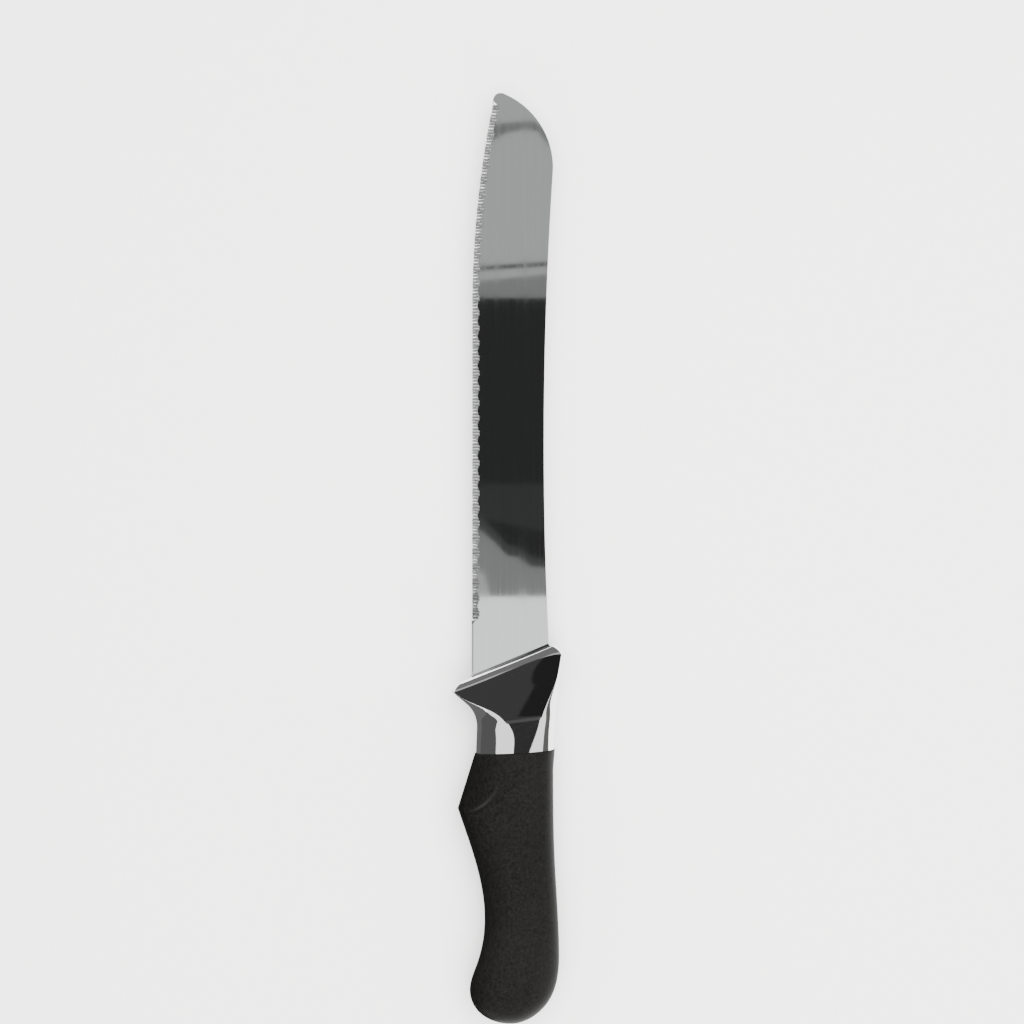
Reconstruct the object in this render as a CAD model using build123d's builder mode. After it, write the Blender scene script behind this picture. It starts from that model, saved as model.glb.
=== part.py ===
from build123d import *
from math import cos, pi, radians, sin, sqrt
import os

os.makedirs("parts", exist_ok=True)

# A bread knife lying on its side, in millimetres. +Y runs from the butt to the tip, +X from the cutting
# edge to the spine, +Z up. The origin is the middle of the whole knife, in the middle of the blade's
# thickness, so every piece but the blade's ground edge is the same above and below Z = 0.

# Overall sizes
knife_length = 310.0       # butt to tip
grip_length = 90.7         # butt to the joint with the collar
guard_width = 37.0         # collar across its front
guard_thickness = 20.4     # collar at its front, also the thickest place of the knife

# Blade
blade_thickness = 1.5
edge_line = 12.15          # straight cutting edge, from the centre line
heel_spine = 13.6          # spine at the heel, from the centre line
waist_spine = 12.05        # spine where the blade is narrowest
nose_spine = 15.1          # spine where the nose begins
nose_length = 25.0         # tip back to the start of the nose
curve_length = 72.0        # tip back to the start of the curved stretch of the edge
nose_inset = 7.8           # corner of the nose, in from the edge line
nose_trim = 0.77           # how far that corner stood past the tip before it was rounded
nose_round = 2.5
waist_shift = 10.0         # narrowest place, from the middle of the spine towards the heel
heel_chamfer = 0.6         # broken top edge of the plain heel, across the face
heel_chamfer_depth = 0.3

# Serration: round grooves ground into the upper face, five to a wave
tooth_pitch = 1.0
teeth_per_wave = 5
groove_radius = 0.54 * blade_thickness   # clears the whole thickness above each groove
gullet_depth = 0.3         # depth of a groove at the cutting edge
wave_reach = 2.45          # mean width of the ground band
wave_swing = 0.35          # how far the band's width swings either way
plain_heel = 21.4          # bare edge between the collar's front and the first tooth
plain_tip = 4.5            # bare edge between the last tooth and the corner of the nose
cutter_length = 10.0

# Tang, hidden in the handle
shoulder_depth = 2.5       # full-width blade reaches this far back from the beak, inside the collar
tang_width = 12.0
tang_length = 66.0         # from the joint towards the butt
tang_round = 3.0
lock_hole = 5.0
lock_pitch = 21.0
lock_count = 3

# Collar, from its oval neck to its slanted front. Every cross-section is flat above and below, with a
# rounded shoulder on each side; the shoulders are wide at the neck and narrow at the front.
neck_centre = 2.3          # middle of the neck, from the centre line
neck_width = 26.0
neck_thickness = 16.6
joint_tilt = 2.8           # degrees
beak_reach = 20.0          # joint to the beak, on the edge side
crown_reach = 32.8         # joint to the front corner, on the spine side
flare_start = 12.5         # joint to where the edge side turns outwards
flare_lean = 0.5           # how far the edge side has leaned inwards by then
flare_radius = 10.0
spine_bow = 1.1            # how far the spine side stands out half-way up
head_step = 1.8            # thickness gained where the neck meets the flat facets
step_start, step_end = 0.2, 0.6           # where that happens, as shares of the collar's length
edge_fold_start, edge_fold_end = 0.35, 0.95    # where the edge shoulder narrows
spine_fold_start, spine_fold_end = 0.2, 0.75   # where the spine shoulder narrows
neck_edge_shoulder = 11.0
neck_spine_shoulder = 8.4
beak_shoulder = 1.4
crown_shoulder = 1.0
beak_dome = 2.4            # front face ahead of its rim, near the beak
crown_dome = 4.2           # front face ahead of its rim, near the crown
beak_rounding = 6.0        # front face set in from the beak, along the slant
crown_rounding = 3.4       # front face set in from the crown, along the slant
side_rounding = 2.4        # front face set in from the rim above and below
collar_wall = 1.8
slot_gap = 0.15            # blade to the sides of its slot

# Grip and the core under it
grip_step = 0.35           # grip stands proud of the collar
grip_wall = 2.6
peak_reach = 19.0          # joint to the finger stop's peak
peak_depth = 16.75         # peak, from the centre line
peak_slope = 0.34          # how fast the edge side falls away behind the peak
ridge_reach = 6.0          # joint to the ridge, on the spine side
ridge_inset = 0.2          # ridge inside the neck's width, on the spine side
waist_thickness = 17.0
palm_thickness = 19.4
palm_shoulder = 10.5
shoulder_share = 0.4       # widest a shoulder gets, as a share of the grip's width there
butt_round = 9.0           # rounding of the butt, seen from the side
core_stop = 0.82           # how far down the grip the core reaches
inner_corner = 0.9         # narrowest shoulder inside a shell
mould_gap = 0.05           # core to the shells around it

# Outline of the grip behind the ridge: distance from the centre line, and from the butt
finger_hollow = (-7.8, 33.5)
hook_start = (-10.45, 19.5)
hook_tip = (-12.75, 11.0)
hook_end = (-10.7, 5.0)
butt_centre = 1.0
back_waist = (15.6, 55.0)
back_swell = (17.05, 26.0)
back_corner = (13.25, 7.0)

# Where the lofts are cut into sections, as shares of the length
collar_stations = (0, 0.2, 0.35, 0.5, 0.65, 0.8)
front_turns = (0, 30, 60, 90)                  # degrees, from the rim to the front face
grip_stations = (0, 0.12, 0.25, 0.38, 0.5, 0.62, 0.74, 0.82, 0.89, 0.94, 0.975, 0.993)

tip_y = knife_length / 2
butt_y = -knife_length / 2
joint_y = butt_y + grip_length
half_blade = blade_thickness / 2


def ease(value, start, end):
    """Rise smoothly from 0 at start to 1 at end."""
    share = min(max((value - start) / (end - start), 0), 1)
    return share * share * (3 - 2 * share)


def section(edge_point, spine_point, thickness, edge_shoulder, spine_shoulder, inset=0.0):
    """Sketch one cross-section that stands on the line between two points of the outline."""
    across = spine_point - edge_point
    plane = Plane(origin=(edge_point + spine_point) / 2, x_dir=across, z_dir=across.rotate(Axis.Z, 90))
    half_width = across.length / 2 - inset
    half_thick = thickness / 2 - inset
    edge_shoulder = max(edge_shoulder - inset, min(edge_shoulder, inner_corner))
    spine_shoulder = max(spine_shoulder - inset, min(spine_shoulder, inner_corner))
    flat_start = edge_shoulder - half_width
    flat_end = half_width - spine_shoulder
    with BuildSketch(plane) as cross_section:
        with BuildLine():
            EllipticalCenterArc((flat_end, 0), spine_shoulder, half_thick, -90, arc_size=180)
            Line((flat_end, half_thick), (flat_start, half_thick))
            EllipticalCenterArc((flat_start, 0), edge_shoulder, half_thick, 90, arc_size=180)
            Line((flat_start, -half_thick), (flat_end, -half_thick))
        make_face()
    return cross_section.sketch.face()


# Blade: a flat strip with a curved edge, a rounded nose, a slightly hollow spine and a hidden tang.
shoulder_y = joint_y + beak_reach - shoulder_depth
heel_y = joint_y + crown_reach + crown_dome
curve_y = tip_y - curve_length
nose_y = tip_y - nose_length
waist_y = (nose_y + heel_y) / 2 - waist_shift
nose_corner = (-edge_line + nose_inset, tip_y + nose_trim)
tang_edge = neck_centre - tang_width / 2
tang_spine = neck_centre + tang_width / 2
tang_end = joint_y - tang_length
edge_start = joint_y + beak_reach + beak_dome + plain_heel

with BuildLine() as cutting_edge:
    Line((-edge_line, edge_start), (-edge_line, curve_y))
    TangentArc((-edge_line, curve_y), nose_corner, tangent=(0, 1))
edge_wire = cutting_edge.wire()
tooth_count = int((edge_wire.length - plain_tip) / tooth_pitch)


def groove(number):
    """Place one round cutter, tilted so that it runs out of the upper face."""
    travel = (number + 0.5) * tooth_pitch
    on_edge = edge_wire.position_at(travel, position_mode=PositionMode.LENGTH)
    along = edge_wire.tangent_at(travel, position_mode=PositionMode.LENGTH)
    inward = along.rotate(Axis.Z, -90)
    phase = 2 * pi * (number - 1.5) / teeth_per_wave
    reach = wave_reach + wave_swing * cos(phase)
    low = on_edge + inward * gullet_depth - Vector(0, 0, half_blade)
    high = on_edge + inward * reach + Vector(0, 0, half_blade)
    slope = (high - low).normalized()
    lift = along.cross(slope) * -groove_radius
    return Plane(origin=(low + high) / 2 + lift, x_dir=along, z_dir=slope)


with BuildPart() as blade:
    with BuildSketch():
        with BuildLine():
            Line((-edge_line, shoulder_y), (-edge_line, curve_y))
            TangentArc((-edge_line, curve_y), nose_corner, tangent=(0, 1))
            TangentArc((nose_spine, nose_y), nose_corner, tangent=(0, 1))
            ThreePointArc((nose_spine, nose_y), (waist_spine, waist_y), (heel_spine, heel_y))
            Polyline(
                (heel_spine, heel_y), (heel_spine, shoulder_y), (tang_spine, shoulder_y),
                (tang_spine, tang_end), (tang_edge, tang_end), (tang_edge, shoulder_y),
                (-edge_line, shoulder_y),
            )
        outline = make_face()
        fillet(outline.vertices().sort_by(Axis.Y)[-1], radius=nose_round)
        fillet(outline.vertices().sort_by(Axis.Y)[:2], radius=tang_round)
        with Locations((neck_centre, joint_y - tang_length / 2)):
            with GridLocations(0, lock_pitch, 1, lock_count):
                Circle(lock_hole / 2, mode=Mode.SUBTRACT)
    extrude(amount=half_blade, both=True)
    top_edges = blade.faces().sort_by(Axis.Z)[-1].edges().filter_by(GeomType.LINE)
    chamfer(top_edges.sort_by(Axis.X)[0], length=heel_chamfer_depth, length2=heel_chamfer)
    for parity in (0, 1):
        with Locations(*[groove(number) for number in range(parity, tooth_count, 2)]):
            Cylinder(groove_radius, cutter_length, mode=Mode.SUBTRACT)
blade.part.label = "blade"
export_step(blade.part, "parts/blade.step")
print(f"blade: {tooth_count} teeth, {blade.part.volume:.0f} mm3")

# Collar: a thin bright shell, open behind, that flares from an oval neck to a slanted, domed front.
half_neck = Vector(neck_width / 2, 0).rotate(Axis.Z, joint_tilt)
joint_middle = Vector(neck_centre, joint_y)
beak = Vector(-guard_width / 2, joint_y + beak_reach)
crown = Vector(guard_width / 2, joint_y + crown_reach)
neck_edge_side = joint_middle - half_neck
neck_spine_side = joint_middle + half_neck
flare_corner = (neck_edge_side.X + flare_lean, joint_y + flare_start)
bow_point = (neck_spine_side.X + spine_bow, joint_y + crown_reach / 2)
collar_edge_side = FilletPolyline(neck_edge_side, flare_corner, beak, radius=flare_radius)
collar_spine_side = ThreePointArc(neck_spine_side, bow_point, crown)
rim_line = (crown - beak).normalized()
ahead = rim_line.rotate(Axis.Z, 90)


def collar_section(along, inset=0.0):
    """One section of the flare, from the neck at 0 to the front rim at 1."""
    lean = guard_thickness - neck_thickness - head_step
    narrowing_edge = ease(along, edge_fold_start, edge_fold_end)
    narrowing_spine = ease(along, spine_fold_start, spine_fold_end)
    return section(
        collar_edge_side @ along, collar_spine_side @ along,
        thickness=neck_thickness + head_step * ease(along, step_start, step_end) + lean * along,
        edge_shoulder=neck_edge_shoulder + (beak_shoulder - neck_edge_shoulder) * narrowing_edge,
        spine_shoulder=neck_spine_shoulder + (crown_shoulder - neck_spine_shoulder) * narrowing_spine,
        inset=inset,
    )


def front_section(turn):
    """One section of the domed front, from the rim at 0 degrees to the front face at 90."""
    pulled_in = 1 - cos(radians(turn))
    pushed_out = sin(radians(turn))
    return section(
        beak + rim_line * beak_rounding * pulled_in + ahead * beak_dome * pushed_out,
        crown - rim_line * crown_rounding * pulled_in + ahead * crown_dome * pushed_out,
        thickness=guard_thickness - 2 * side_rounding * pulled_in,
        edge_shoulder=beak_shoulder, spine_shoulder=crown_shoulder,
    )


with BuildPart() as collar:
    loft([collar_section(along) for along in (*collar_stations, 1)])
    loft([front_section(turn) for turn in front_turns])
    loft([collar_section(along, collar_wall) for along in collar_stations], mode=Mode.SUBTRACT)
    with BuildSketch():
        with Locations(((heel_spine - edge_line) / 2, heel_y)):
            Rectangle(edge_line + heel_spine + 2 * slot_gap, 2 * (heel_y - shoulder_y + slot_gap))
    extrude(amount=half_blade + slot_gap, both=True, mode=Mode.SUBTRACT)
collar.part.label = "collar"
export_step(collar.part, "parts/collar.step")
print(f"collar: {collar.part.volume:.0f} mm3")

# Grip: a soft cover with a finger stop, a narrow waist and a hooked butt. A slanted ridge across it
# runs from the peak of the finger stop to the spine side.
grip_half_neck = Vector(neck_width / 2 + grip_step, 0).rotate(Axis.Z, joint_tilt)
peak = Vector(-peak_depth, joint_y - peak_reach)
ridge_end = Vector(neck_centre + neck_width / 2 - ridge_inset, joint_y - ridge_reach)
edge_points = (finger_hollow, hook_start, hook_tip, hook_end, (butt_centre, 0))
back_points = (back_waist, back_swell, back_corner, (butt_centre, 0))
grip_edge_side = Spline(
    peak, *[(across, butt_y + along) for across, along in edge_points],
    tangents=((peak_slope, -1), (1, 0)),
)
grip_spine_side = Spline(
    ridge_end, *[(across, butt_y + along) for across, along in back_points],
    tangents=((0, -1), (-1, 0)),
)


def grip_section(along, inset=0.0):
    """One section of the palm, from the ridge at 0 to the butt at 1."""
    edge_point = grip_edge_side @ along
    spine_point = grip_spine_side @ along
    swell = cos(pi * along) ** 2
    thickness = waist_thickness + (palm_thickness - waist_thickness) * swell
    shoulder = min(palm_shoulder, (spine_point - edge_point).length * shoulder_share)
    to_butt = (edge_point.Y + spine_point.Y) / 2 - butt_y
    if to_butt < butt_round:
        thickness = thickness * sqrt(1 - (1 - to_butt / butt_round) ** 2)
    return section(edge_point, spine_point, thickness, shoulder, shoulder, inset)


def neck_section(inset=0.0):
    """The section at the joint, where the grip stands a little proud of the collar."""
    return section(
        joint_middle - grip_half_neck, joint_middle + grip_half_neck,
        thickness=neck_thickness + 2 * grip_step,
        edge_shoulder=neck_edge_shoulder, spine_shoulder=neck_spine_shoulder, inset=inset,
    )


with BuildPart() as grip:
    loft([neck_section(), grip_section(0)], ruled=True)
    loft([grip_section(along) for along in grip_stations])
    loft([neck_section(grip_wall), grip_section(0, grip_wall)], ruled=True, mode=Mode.SUBTRACT)
    hollow = [grip_section(along, grip_wall) for along in grip_stations if along <= core_stop]
    loft(hollow, mode=Mode.SUBTRACT)
grip.part.label = "grip"
export_step(grip.part, "parts/grip.step")
print(f"grip: {grip.part.volume:.0f} mm3")

# Core: rigid plastic moulded round the tang, through its holes and up into the collar.
core_inset = grip_wall + mould_gap
with BuildPart() as handle_core:
    loft([collar_section(along, collar_wall + mould_gap) for along in collar_stations])
    loft([neck_section(core_inset), grip_section(0, core_inset)], ruled=True)
    loft([grip_section(along, core_inset) for along in grip_stations if along <= core_stop])
    add(blade.part, mode=Mode.SUBTRACT)
handle_core.part.label = "handle_core"
export_step(handle_core.part, "parts/handle_core.step")
print(f"handle core: {handle_core.part.volume:.0f} mm3")
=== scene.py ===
# %% [markdown]
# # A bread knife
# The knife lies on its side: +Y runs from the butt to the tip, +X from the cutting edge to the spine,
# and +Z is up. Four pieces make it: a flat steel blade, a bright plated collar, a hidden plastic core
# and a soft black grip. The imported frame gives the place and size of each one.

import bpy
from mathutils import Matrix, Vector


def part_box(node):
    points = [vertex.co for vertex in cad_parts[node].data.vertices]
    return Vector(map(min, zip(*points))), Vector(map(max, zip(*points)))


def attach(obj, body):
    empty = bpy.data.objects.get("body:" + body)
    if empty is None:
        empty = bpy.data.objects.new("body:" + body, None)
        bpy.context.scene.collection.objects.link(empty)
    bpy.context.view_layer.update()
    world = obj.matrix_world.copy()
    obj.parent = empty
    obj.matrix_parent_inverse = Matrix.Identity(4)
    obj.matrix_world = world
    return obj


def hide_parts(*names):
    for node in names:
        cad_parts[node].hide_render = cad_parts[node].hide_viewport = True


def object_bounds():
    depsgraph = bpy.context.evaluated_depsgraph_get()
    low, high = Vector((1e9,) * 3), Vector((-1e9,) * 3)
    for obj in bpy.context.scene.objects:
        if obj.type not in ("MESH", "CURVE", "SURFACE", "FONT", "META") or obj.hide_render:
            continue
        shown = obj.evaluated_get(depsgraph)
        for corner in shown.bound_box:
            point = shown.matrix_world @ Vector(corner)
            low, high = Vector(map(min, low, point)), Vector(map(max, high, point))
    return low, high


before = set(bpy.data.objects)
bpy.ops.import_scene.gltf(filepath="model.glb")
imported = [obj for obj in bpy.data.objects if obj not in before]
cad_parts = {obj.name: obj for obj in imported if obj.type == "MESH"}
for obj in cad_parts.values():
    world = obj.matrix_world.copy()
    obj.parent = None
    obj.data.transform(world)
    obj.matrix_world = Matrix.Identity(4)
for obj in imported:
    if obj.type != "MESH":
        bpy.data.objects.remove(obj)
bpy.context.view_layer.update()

from math import atan2, copysign, cos, hypot, pi, radians, sin, sqrt, tan

import bmesh
import bpy
from mathutils import Vector

MM = 0.001
print("frame nodes:", sorted(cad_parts))

# %% [markdown]
# ## Where the pieces are
# The frame gives us boxes, and the knife's main lines follow from them: the tip and the butt are the
# far ends of the blade's and the grip's boxes, and the blade's box also gives the cutting edge, the widest
# place and the thickness. The joint between collar and grip lies one grip length from the butt. We work in
# millimetres, because the steps and roundings of a knife are easy to read that way, and turn them into
# metres when a mesh is made.

# %% Read the main lines from the frame


def box_mm(node):
    """Lowest and highest corner of a frame node, in millimetres."""
    low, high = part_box(node)
    return Vector(low) / MM, Vector(high) / MM


blade_low, blade_high = box_mm("blade")
grip_low, _ = box_mm("grip")

tip_y = blade_high.y
butt_y = grip_low.y
edge_x = blade_low.x
nose_x = blade_high.x
half_blade = (blade_high.z - blade_low.z) / 2
tang_end = blade_low.y
grip_length = 90.7
joint_y = butt_y + grip_length
print(f"tip {tip_y:.1f}, butt {butt_y:.1f}, blade {2 * half_blade:.2f} thick, joint at {joint_y:.1f}")

# %% [markdown]
# ## Closed meshes from rings
# Every piece here is long and its cross-section changes slowly, so one method makes them all: rings of
# points, one after another, joined by quads and closed at both ends. It gives clean, closed meshes with
# even faces, and a mirror finish needs that, because a reflection shows every bump in the mesh. Where two
# faces meet at more than a set angle, the edge is marked sharp and the shading stops there.

# %% A helper that turns rings into a piece


def ring_mesh(name, rings, crease=30.0):
    """Join rings of points, in millimetres, into one closed mesh object."""
    count = len(rings[0])
    mesh = bpy.data.meshes.new(name)
    vertices = [(point[0] * MM, point[1] * MM, point[2] * MM) for ring in rings for point in ring]
    faces = []
    for ring in range(len(rings) - 1):
        here, there = ring * count, (ring + 1) * count
        for number in range(count):
            after = (number + 1) % count
            faces.append((here + number, here + after, there + after, there + number))
    faces.append(tuple(reversed(range(count))))
    faces.append(tuple(range((len(rings) - 1) * count, len(rings) * count)))
    mesh.from_pydata(vertices, [], faces)
    form = bmesh.new()
    form.from_mesh(mesh)
    bmesh.ops.remove_doubles(form, verts=form.verts, dist=1e-7)
    bmesh.ops.recalc_face_normals(form, faces=form.faces)
    form.to_mesh(mesh)
    form.free()
    finish_shading(mesh, crease)
    piece = bpy.data.objects.new(name, mesh)
    bpy.context.scene.collection.objects.link(piece)
    print(f"{name}: {len(mesh.vertices)} points, {len(mesh.polygons)} faces")
    return piece


def finish_shading(mesh, crease):
    """Smooth shading that stops at edges sharper than the crease angle, in degrees."""
    mesh.shade_smooth()
    mesh.set_sharp_from_angle(angle=radians(crease))


def cut_away(piece, cutters, crease=30.0):
    """Cut closed pieces out of another and throw the cutters away."""
    for cutter in cutters:
        knife = piece.modifiers.new("cut", "BOOLEAN")
        knife.operation = "DIFFERENCE"
        knife.solver = "EXACT"
        knife.object = cutter
    bpy.context.view_layer.update()
    result = bpy.data.meshes.new_from_object(piece.evaluated_get(bpy.context.evaluated_depsgraph_get()))
    piece.modifiers.clear()
    piece.data = result
    for cutter in cutters:
        bpy.data.objects.remove(cutter)
    finish_shading(piece.data, crease)
    print(f"{piece.name} after cutting: {len(piece.data.polygons)} faces")

# %% [markdown]
# ## The outline of the blade
# The blade is stamped from strip. Its cutting edge is straight, then bends gently towards the tip; the
# nose is a large arc; the spine is very slightly hollow. Arcs that start parallel to the blade's axis and
# pass through a known corner need no more than that corner, so the helper below works out the rest.

# %% Arcs of the outline


def arc_from_axis(start, end):
    """Centre and radius of the arc that leaves start along Y and passes through end."""
    across, along = end[0] - start[0], end[1] - start[1]
    radius = (across**2 + along**2) / (2 * across)
    return (start[0] + radius, start[1]), abs(radius)


def arc_through(first, middle, last):
    """Centre and radius of the arc through three points."""
    ax, ay = middle[0] - first[0], middle[1] - first[1]
    bx, by = last[0] - first[0], last[1] - first[1]
    twice = 2 * (ax * by - ay * bx)
    px = (by * (ax * ax + ay * ay) - ay * (bx * bx + by * by)) / twice
    py = (ax * (bx * bx + by * by) - bx * (ax * ax + ay * ay)) / twice
    return (first[0] + px, first[1] + py), hypot(px, py)


def arc_points(centre, start, end, count):
    """Points along an arc about centre, from start up to but not including end."""
    first = atan2(start[1] - centre[1], start[0] - centre[0])
    turn = atan2(end[1] - centre[1], end[0] - centre[0]) - first
    turn = (turn + pi) % (2 * pi) - pi
    radius = hypot(start[0] - centre[0], start[1] - centre[1])
    angles = [first + turn * number / count for number in range(count)]
    return [(centre[0] + radius * cos(angle), centre[1] + radius * sin(angle)) for angle in angles]


def circles_meet(centre_a, radius_a, centre_b, radius_b):
    """The crossing of two circles that lies to the left of the line from a to b."""
    across, along = centre_b[0] - centre_a[0], centre_b[1] - centre_a[1]
    apart = hypot(across, along)
    reach = (radius_a**2 - radius_b**2 + apart**2) / (2 * apart)
    height = sqrt(radius_a**2 - reach**2)
    unit_x, unit_y = across / apart, along / apart
    return (centre_a[0] + reach * unit_x - height * unit_y, centre_a[1] + reach * unit_y + height * unit_x)


def toward(centre, point, radius):
    """The point at a radius from centre, in the direction of another point."""
    far = hypot(point[0] - centre[0], point[1] - centre[1])
    return (
        centre[0] + (point[0] - centre[0]) * radius / far,
        centre[1] + (point[1] - centre[1]) * radius / far,
    )


curve_length, nose_length = 72.0, 25.0
nose_inset, nose_trim, nose_round = 7.8, 0.77, 2.5
curve_y = tip_y - curve_length
nose_y = tip_y - nose_length
nose_corner = (edge_x + nose_inset, tip_y + nose_trim)

heel_reach, waist_shift, shoulder_reach = 37.0, 10.0, 17.5
heel_x, waist_x = 13.6, 12.05
heel_y = joint_y + heel_reach
waist_y = (nose_y + heel_y) / 2 - waist_shift
shoulder_y = joint_y + shoulder_reach

neck_centre, tang_width, tang_round = 2.3, 12.0, 3.0
tang_left, tang_right = neck_centre - tang_width / 2, neck_centre + tang_width / 2

edge_centre, edge_radius = arc_from_axis((edge_x, curve_y), nose_corner)
nose_centre, nose_radius = arc_from_axis((nose_x, nose_y), nose_corner)
spine_centre, spine_radius = arc_through((nose_x, nose_y), (waist_x, waist_y), (heel_x, heel_y))
round_centre = circles_meet(nose_centre, nose_radius - nose_round, edge_centre, edge_radius - nose_round)
edge_end = toward(edge_centre, round_centre, edge_radius)
nose_end = toward(nose_centre, round_centre, nose_radius)
print(f"edge bends at {edge_radius:.0f} mm, nose at {nose_radius:.1f} mm, spine at {spine_radius:.0f} mm")

# %% [markdown]
# ## The ground edge
# A bread knife's teeth are ground from one side with a profiled wheel. Each tooth is one shallow round
# groove, tilted so that it runs out of the upper face; where two grooves meet, a sharp cusp is left, and
# the cusp's end is the point of the tooth. Five grooves make a wave, because the wheel cuts the middle
# ones a little wider. We could carve the grooves with booleans, but a formula gives the same surface with
# far cleaner faces: for each place along the edge it says how far in the ground surface starts and ends.

# %% Measure one column of the ground edge
tooth_pitch = 1.0
teeth_per_wave = 5
groove_radius = 0.54 * 2 * half_blade
gullet_depth = 0.3
wave_reach, wave_swing, wave_shift = 2.45, 0.35, 1.5
first_tooth_reach, plain_tip = 43.8, 4.5
edge_start = joint_y + first_tooth_reach
straight = curve_y - edge_start
bend_angle = abs(atan2(edge_centre[0] - nose_corner[0], nose_corner[1] - edge_centre[1]) - pi / 2)
edge_length = straight + edge_radius * bend_angle
tooth_count = int((edge_length - plain_tip) / tooth_pitch)


def groove_column(number, aside):
    """Where the ground surface of groove number starts and ends, aside from the groove's middle."""
    reach = wave_reach + wave_swing * cos(2 * pi * (number - wave_shift) / teeth_per_wave)
    tilt = atan2(2 * half_blade, reach - gullet_depth)
    rise = groove_radius - sqrt(groove_radius**2 - aside**2)
    start = gullet_depth - rise / sin(tilt)
    end = reach - rise / sin(tilt)
    foot = -half_blade + max(0.0, -start) * tan(tilt)
    return max(start, 0.0), foot, end


heel_chamfer, broken_corner = 0.6, 0.12
plain_column = (0.0, half_blade - heel_chamfer / 2, heel_chamfer)
spine_column = (0.0, half_blade - broken_corner, broken_corner)
columns_per_tooth = 10
groove_share = 0.98


def edge_columns():
    """Travel along the serrated edge and the column there, from the heel to the nose."""
    half = tooth_pitch / 2
    lead = groove_radius * groove_share - half
    columns = [(-lead, groove_column(0, half + lead))]
    for number in range(tooth_count):
        for step in range(columns_per_tooth):
            aside = -half + tooth_pitch * step / columns_per_tooth
            column = groove_column(number, aside)
            if step == 0 and number:
                before = groove_column(number - 1, half)
                column = tuple((one + two) / 2 for one, two in zip(before, column))
            columns.append(((number + 0.5) * tooth_pitch + aside, column))
    columns.append((tooth_count * tooth_pitch, groove_column(tooth_count - 1, half)))
    columns.append((tooth_count * tooth_pitch + lead, groove_column(tooth_count - 1, half + lead)))
    return columns


def on_edge(travel):
    """Point on the cutting edge, and the direction into the blade, at a distance from the first tooth."""
    if travel <= straight:
        return (edge_x, edge_start + travel), (1.0, 0.0)
    angle = (travel - straight) / edge_radius
    point = (edge_centre[0] - edge_radius * cos(angle), edge_centre[1] + edge_radius * sin(angle))
    return point, (cos(angle), -sin(angle))


print(f"{tooth_count} teeth, {tooth_count / teeth_per_wave:.1f} waves, over {edge_length:.0f} mm of edge")

# %% [markdown]
# ## The blade
# The blade is a flat polished strip. We walk once round its outline, tang and all, and give every point a
# short column of vertices: up the wall, over the broken corner or along a groove, and onto the upper face.
# The columns become rings, the rings close into a plate, and the two big faces stay perfectly flat, which
# is what makes their reflections true. The holes in the hidden tang are cut afterwards.

# %% Walk round the outline
edge_corner = 0.02
lead_in, lead_out = 1.5, 1.2


def inward_at(before, point, after):
    """Unit direction into the plate, for an outline walked clockwise seen from above."""
    across, along = after[0] - before[0], after[1] - before[1]
    length = hypot(across, along)
    return along / length, -across / length


outline = []


def walk(points, column):
    """Add outline points that all have the same column."""
    for point in points:
        outline.append((point, None, column, broken_corner))


walk([(edge_x, shoulder_y), (edge_x, edge_start - lead_in)], plain_column)
for travel, column in edge_columns():
    point, inward = on_edge(travel)
    outline.append((point, inward, column, edge_corner))
last_point, _ = on_edge(tooth_count * tooth_pitch + lead_out)
walk(arc_points(edge_centre, last_point, edge_end, 6), spine_column)
walk(arc_points(round_centre, edge_end, nose_end, 14), spine_column)
walk(arc_points(nose_centre, nose_end, (nose_x, nose_y), 48), spine_column)
walk(arc_points(spine_centre, (nose_x, nose_y), (heel_x, heel_y), 60), spine_column)
walk([(heel_x, heel_y), (heel_x, shoulder_y), (tang_right, shoulder_y)], spine_column)
round_y = tang_end + tang_round
right_round, left_round = (tang_right - tang_round, round_y), (tang_left + tang_round, round_y)
walk(arc_points(right_round, (tang_right, round_y), (right_round[0], tang_end), 8), spine_column)
walk(arc_points(left_round, (left_round[0], tang_end), (tang_left, round_y), 8), spine_column)
walk([(tang_left, round_y), (tang_left, shoulder_y)], spine_column)
print(f"{len(outline)} columns round the blade")

# %% [markdown]
# Each column now gives one point to each ring: the bottom face, the two ends of the wall, then the steps
# up the ground surface. The wall always keeps a sliver of height, so that no two rings meet.

# %% Turn the columns into rings
wall_steps = 5
least_wall = 0.01
rings = [[] for _ in range(wall_steps + 3)]
for number, (point, inward, column, corner) in enumerate(outline):
    if inward is None:
        before, after = outline[number - 1][0], outline[(number + 1) % len(outline)][0]
        inward = inward_at(before, point, after)
    start, foot, end = column
    bottom = -half_blade
    wall_top = max(foot, bottom + corner + least_wall)
    heights = [(start + corner, bottom), (start, min(bottom + corner, foot + least_wall)), (start, wall_top)]
    for step in range(1, wall_steps + 1):
        share = step / wall_steps
        heights.append((start + (end - start) * share, wall_top + (half_blade - wall_top) * share))
    for ring, (depth, height) in zip(rings, heights):
        ring.append((point[0] + inward[0] * depth, point[1] + inward[1] * depth, height))

blade = ring_mesh("serrated_blade", rings, crease=20.0)

# %% [markdown]
# The plastic of the core locks into three round holes in the tang. The handle hides them for good, but they
# belong to the blade, so we cut them.

# %% Cut the lock holes


def straight_cutter(name, corners, low, high):
    """A plain closed prism over a list of corners, in millimetres, used only to cut with."""
    return ring_mesh(name, [[(*corner, level) for corner in corners] for level in (low, high)])


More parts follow.
